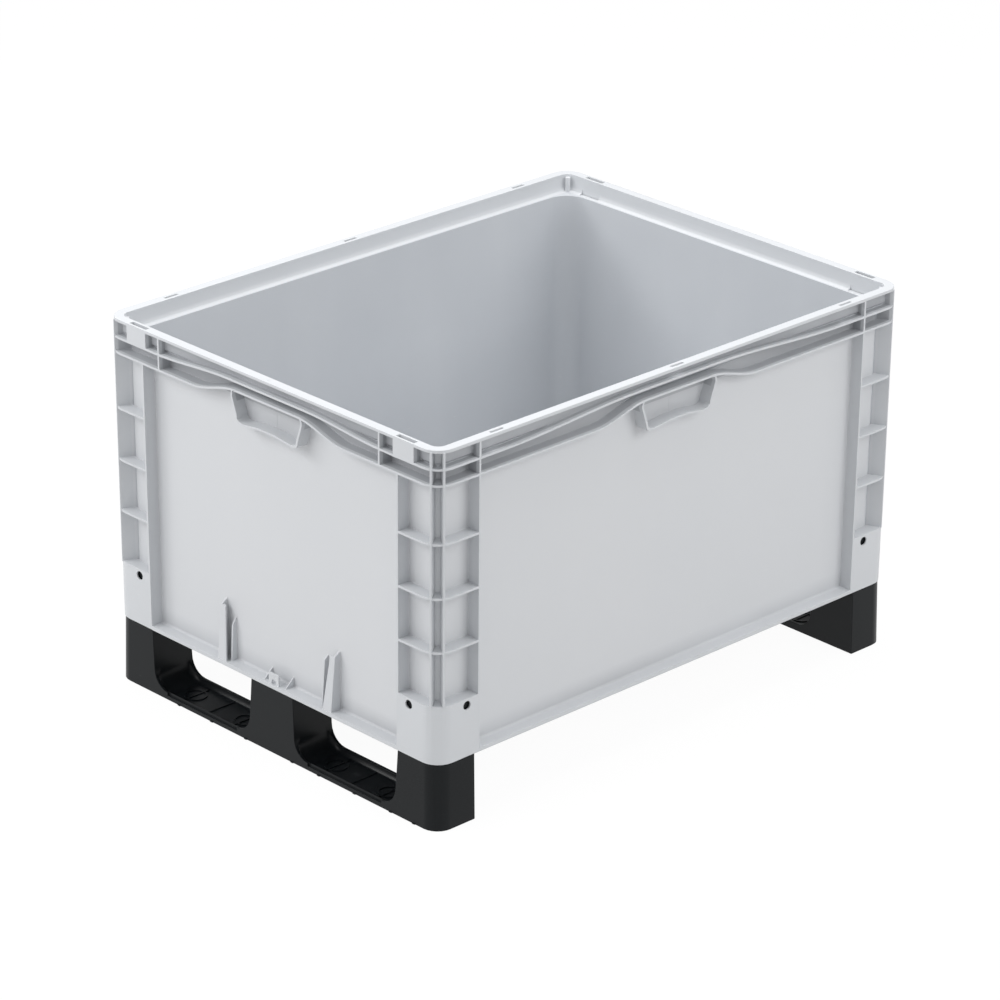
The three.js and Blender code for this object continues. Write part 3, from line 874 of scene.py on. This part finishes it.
@dataclass
class RoundCorners(Fitting):
    """Upright corners, round outside and hollow behind, at the container's four corners."""

    inset: float = 18.05 * MM
    radius: float = 14 * MM
    reach: float = 33 * MM
    hollow_radius: float = 31.5 * MM
    low: float = 164 * MM
    high: float = 469 * MM
    lean_low: float = 1.79 * MM
    lean_high: float = 0.14 * MM
    steps: int = 10
    hollow_sides: int = 96
    corner: tuple[float, float] = (400 * MM, 300 * MM)

    def build(self) -> bpy.types.Object:
        """Models one corner and mirrors it to the other three.

        Returns:
            All four as one mesh.
        """
        return self.joined(at_all_corners(self._corner()))

    def _corner(self) -> bpy.types.Object:
        """Models a square post, rounds its outer edge and hollows its back.

        Returns:
            The corner at +X, +Y.
        """
        outer = Vector((self.corner[0] - self.inset, self.corner[1] - self.inset, self.high))
        inner = Vector((outer.x - self.reach, outer.y - self.reach, self.low))
        core = added_box(inner, outer)
        edit(core, lambda place: (place - outer).xy.length < CLOSE, "EDGE")
        bpy.ops.mesh.bevel(offset=self.radius, segments=self.steps, affect="EDGES")
        finish_edit()
        half = (self.low + self.high) / 2
        tall = 2 * (self.high - self.low)
        bore = added("cylinder", vertices=self.hollow_sides, radius=self.hollow_radius, depth=tall,
                     location=(inner.x, inner.y, half))
        only(core)
        hollow = core.modifiers.new("hollow", "BOOLEAN")
        hollow.operation = "DIFFERENCE"
        hollow.solver = "EXACT"
        hollow.object = bore
        bpy.ops.object.modifier_apply(modifier=hollow.name)
        bpy.data.objects.remove(bore)
        for lean, below in ((self.lean_low, True), (self.lean_high, False)):
            edit(core, lambda place: (place.z < half) == below)
            bpy.ops.transform.translate(value=(-lean, -lean, 0.0))
            finish_edit()
        return core


@dataclass
class RibWebs(Fitting):
    """Upright webs that close the bottom of the groove between the twin ribs, and their feet."""

    middle: tuple[float, float] = (375 * MM, 275 * MM)
    front: float = 13.5 * MM
    back: float = 6 * MM
    width: float = 6.3 * MM
    low: float = 164 * MM
    high: float = 490.5 * MM
    lean: float = 1.75 * MM
    turn: float = math.radians(45.0)
    levels: tuple[float, ...] = (165 * MM, 236 * MM, 305.7 * MM, 375.4 * MM, 450 * MM, 470.5 * MM)
    foot_front: float = 20.5 * MM
    foot_height: float = 4.4 * MM
    foot_sunk: float = 0.7 * MM
    foot_spread: float = 1.5
    edge: float = 0.5 * MM

    def build(self) -> bpy.types.Object:
        """Models one web and its feet and mirrors them to the other three corners.

        Returns:
            All four corners as one mesh.
        """
        forms = at_all_corners(self._web())
        for level in self.levels:
            forms += at_all_corners(self._foot(level))
        return self.joined(forms)

    def _foot(self, level: float) -> bpy.types.Object:
        """Models the rounded wedge between a web and the ring or flange below it.

        Args:
            level: Height of the top of the ring or flange.

        Returns:
            The foot at the corner of +X and +Y.
        """
        foot = added_box(Vector((self.front - self.foot_sunk, -self.width / 2, level - self.foot_sunk)),
                         Vector((self.foot_front, self.width / 2, level + self.foot_height)))
        edit(foot, lambda point: point.x > self.front and point.z > level)
        bpy.ops.transform.translate(value=(0.0, 0.0, -self.foot_height))
        finish_edit()
        edit(foot, lambda point: point.x > self.front)
        bpy.ops.transform.resize(value=(1.0, self.foot_spread, 1.0), center_override=(0.0, 0.0, level))
        finish_edit()
        self.soften(foot, self.edge)
        lean = self.lean * (self.high - level) / (self.high - self.low)
        foot.rotation_euler.z = self.turn
        foot.location = (self.middle[0] - lean, self.middle[1] - lean, 0.0)
        only(foot)
        bpy.ops.object.transform_apply(location=True, rotation=True, scale=True)
        return foot

    def _web(self) -> bpy.types.Object:
        """Models one web, turned to the corner.

        Returns:
            The web at the corner of +X and +Y.
        """
        away = (self.front + self.back) / 2 * math.cos(self.turn)
        place = (self.middle[0] + away, self.middle[1] + away, (self.low + self.high) / 2)
        web = added("cube", size=1.0, location=place, rotation=(0.0, 0.0, self.turn),
                    scale=(self.front - self.back, self.width, self.high - self.low))
        edit(web, lambda point: point.z < self.low + MM)
        bpy.ops.transform.translate(value=(-self.lean, -self.lean, 0.0))
        finish_edit()
        self.soften(web, self.edge)
        return web


@dataclass
class CardGuide(Fitting):
    """Guide blade beside the right post of the card holder."""

    front: float = -390.6 * MM
    back: float = -378.5 * MM
    middle: float = -86.1 * MM
    width: float = 2.2 * MM
    foot: float = 92.5 * MM
    peak: float = 160 * MM
    shoulder: float = 7 * MM
    lean: float = 4.2 * MM
    edge: float = 0.35 * MM

    def build(self) -> bpy.types.Object:
        """Models an upright blade whose front leans back and whose top slopes.

        Returns:
            The blade.
        """
        half = self.width / 2
        blade = added_box(Vector((self.front, self.middle - half, self.foot)),
                          Vector((self.back, self.middle + half, self.peak)))
        edit(blade, lambda place: place.z > self.peak - MM and place.x < self.front + MM)
        bpy.ops.transform.translate(value=(self.lean, 0.0, -self.shoulder))
        finish_edit()
        self.soften(blade, self.edge)
        return self.joined([blade])


@dataclass
class PocketSeams(Fitting):
    """Fine raised mould line up the middle of each handle pocket."""

    face: tuple[float, float] = (381.7 * MM, 281.7 * MM)
    width: float = 2.2 * MM
    proud: float = 0.18 * MM
    sunk: float = 0.8 * MM
    low: float = 427 * MM
    high: float = 463 * MM
    taper: float = 0.4

    def build(self) -> bpy.types.Object:
        """Models one line on a short and one on a long side and mirrors both.

        Returns:
            All four lines as one mesh.
        """
        half = self.width / 2
        forms = []
        for axis, face in enumerate(self.face):
            low, high = Vector((-half, -half, self.low)), Vector((half, half, self.high))
            low[axis], high[axis] = face - self.sunk, face + self.proud
            line = added_box(low, high)
            edit(line, lambda place: place[axis] > face)
            shrink = Vector((self.taper, self.taper, 1.0))
            shrink[axis] = 1.0
            bpy.ops.transform.resize(value=shrink, center_override=(low + high) / 2)
            finish_edit()
            away = Vector((1.0, 1.0, 1.0))
            away[axis] = -1.0
            forms += [line, copied(line, mirror=away)]
        return self.joined(forms)


@dataclass
class GateMark(Fitting):
    """Small round mark of the mould's gate on the rim of a short side."""

    place: tuple[float, float, float] = (-394.3 * MM, 0.0, 494 * MM)
    radius: float = 1.9 * MM
    proud: float = 0.35 * MM
    sunk: float = 0.8 * MM
    dimple: float = 0.9 * MM
    dimple_slope: float = 0.3 * MM
    sides: int = 24
    edge: float = 0.1 * MM

    def build(self) -> bpy.types.Object:
        """Models a low disc with a dimple in its middle.

        Returns:
            The mark.
        """
        x, y, z = self.place
        disc = added("cylinder", vertices=self.sides, radius=self.radius, depth=self.proud + self.sunk,
                     location=(x, y, z + (self.proud - self.sunk) / 2))
        edit(disc, lambda place: place.z > z, "FACE")
        bpy.ops.mesh.inset(thickness=self.radius - self.dimple, depth=0.0)
        bpy.ops.mesh.inset(thickness=self.dimple_slope, depth=-self.sunk)
        finish_edit()
        self.soften(disc, self.edge, segments=1)
        return self.joined([disc])


@dataclass(frozen=True)
class Lamp:
    """A soft box of the studio."""

    name: str
    place: tuple[float, float, float]
    width: float
    height: float
    power: float

    def hang(self, target: Vector) -> None:
        """Hangs the lamp and turns it to the container.

        Args:
            target: The point that it faces.
        """
        data = bpy.data.lights.new(self.name, "AREA")
        data.shape = "RECTANGLE"
        data.size = self.width
        data.size_y = self.height
        data.energy = self.power
        lamp = bpy.data.objects.new(self.name, data)
        lamp.location = self.place
        lamp.rotation_euler = (target - lamp.location).to_track_quat("-Z", "Y").to_euler()
        bpy.context.scene.collection.objects.link(lamp)


@dataclass
class Studio:
    """White sweep, soft boxes and the camera of the photograph."""

    floor_size: float = 60.0
    floor_drop: float = 0.3 * MM
    sky: float = 0.58
    floor_grey: float = 0.60
    floor_white: float = 0.92
    floor_glow: float = 1.04
    target: Vector = Vector((0.0, 0.0, 0.25))
    camera_place: Vector = Vector((-3.60232, -3.73048, 2.49243))
    camera_right: Vector = Vector((0.722699, -0.691121, 0.007620))
    camera_forward: Vector = Vector((0.635302, 0.659907, -0.401140))
    sensor: float = 36.0
    focal_pixels: float = 4458.06
    frame_pixels: float = 1000.0
    lamps: tuple[Lamp, ...] = (
        Lamp("overhead", (0.2, 0.1, 3.2), 2.6, 2.0, 60.0),
        Lamp("left box", (-2.9, 0.9, 2.1), 2.0, 1.6, 35.5),
        Lamp("back box", (-2.4, 2.6, 2.6), 1.1, 1.1, 34.0),
        Lamp("right box", (0.9, -2.9, 2.1), 2.0, 1.6, 39.0),
    )

    def build(self) -> None:
        """Sets up floor, light and camera."""
        self._floor()
        self._world()
        for lamp in self.lamps:
            lamp.hang(self.target)
        self._camera()
        bpy.context.scene.view_settings.view_transform = "Standard"

    def _floor(self) -> None:
        """Pale floor that shows white, keeps a faint shadow and lets a view from below through."""
        bpy.ops.object.select_all(action="DESELECT")
        bpy.ops.mesh.primitive_plane_add(size=self.floor_size, location=(0.0, 0.0, -self.floor_drop))
        floor = bpy.context.view_layer.objects.active
        floor.name = "floor"
        graph = Graph("pale floor")
        paper = graph.add("ShaderNodeBsdfDiffuse", None,
                          {"Color": (self.floor_grey, self.floor_grey, self.floor_grey, 1.0)})
        glow = graph.add("ShaderNodeEmission", None, {
            "Color": (1.0, 1.0, 1.0, 1.0), "Strength": self.floor_glow})
        rays = graph.add("ShaderNodeLightPath").outputs
        camera, glossy, through = (Varying(graph, rays[name]) for name in (
            "Is Camera Ray", "Is Glossy Ray", "Is Transmission Ray"))
        seen = camera + glossy + through
        mixed = graph.add("ShaderNodeMixShader", None, {
            0: seen * self.floor_white, 1: paper.outputs[0], 2: glow.outputs[0]})
        below = Varying(graph, graph.add("ShaderNodeNewGeometry").outputs["Backfacing"])
        clear = graph.add("ShaderNodeBsdfTransparent")
        one_sided = graph.add("ShaderNodeMixShader", None, {
            0: below, 1: mixed.outputs[0], 2: clear.outputs[0]})
        graph.add("ShaderNodeOutputMaterial", None, {"Surface": one_sided.outputs[0]})
        floor.data.materials.append(graph.material)

    def _world(self) -> None:
        """Even white light from all round."""
        world = bpy.data.worlds.new("studio")
        world.use_nodes = True
        bpy.context.scene.world = world
        background = world.node_tree.nodes["Background"]
        background.inputs["Color"].default_value = (1.0, 1.0, 1.0, 1.0)
        background.inputs["Strength"].default_value = self.sky

    def _camera(self) -> None:
        """Camera where the photograph was taken from."""
        data = bpy.data.cameras.new("camera")
        data.sensor_width = self.sensor
        data.lens = self.focal_pixels * self.sensor / self.frame_pixels
        data.clip_end = self.floor_size
        camera = bpy.data.objects.new("camera", data)
        forward = self.camera_forward.normalized()
        right = (self.camera_right - self.camera_right.dot(forward) * forward).normalized()
        up = right.cross(forward)
        turn = Matrix((right, up, -forward)).transposed().to_4x4()
        camera.matrix_world = Matrix.Translation(self.camera_place) @ turn
        bpy.context.scene.collection.objects.link(camera)
        bpy.context.scene.camera = camera


def main() -> None:
    """Builds the container's pieces, then the studio round them."""
    logging.basicConfig(level=logging.INFO, format="%(name)s %(message)s")
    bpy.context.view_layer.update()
    grey = GREY_FINISH.material()
    black = BLACK_FINISH.material()
    mouldings = [
        (Moulding("container_tub", "tub", Slot.GREY, 0.6 * MM, lowest=87 * MM), grey),
        (Moulding("runner_left", "left_runner", Slot.BLACK, 0.8 * MM, sharp_angle=42.0), black),
        (Moulding("runner_right", "right_runner", Slot.BLACK, 0.8 * MM, sharp_angle=42.0), black),
    ]
    for moulding, material in mouldings:
        moulding.dress(moulding.build(), material)
    fittings = [
        (RailNubs("left_rail_nubs", Slot.BLACK, outward=-1.0), black),
        (RailNubs("right_rail_nubs", Slot.BLACK, outward=1.0), black),
        (RoundCorners("wall_corners", Slot.GREY), grey),
        (RoundCorners("foot_corners", Slot.BLACK, inset=2.06 * MM, radius=23 * MM, reach=23.5 * MM,
                      hollow_radius=18.8 * MM, low=0.6 * MM, high=87.3 * MM,
                      lean_low=0.0, lean_high=1.48 * MM, steps=6), black),
        (RibWebs("rib_webs", Slot.GREY), grey),
        (CardGuide("card_guide", Slot.GREY), grey),
        (PocketSeams("handle_seams", Slot.GREY), grey),
        (GateMark("gate_mark", Slot.GREY), grey),
    ]
    for fitting, material in fittings:
        fitting.dress(fitting.build(), material)
    Studio().build()


if __name__ == "__main__":
    main()
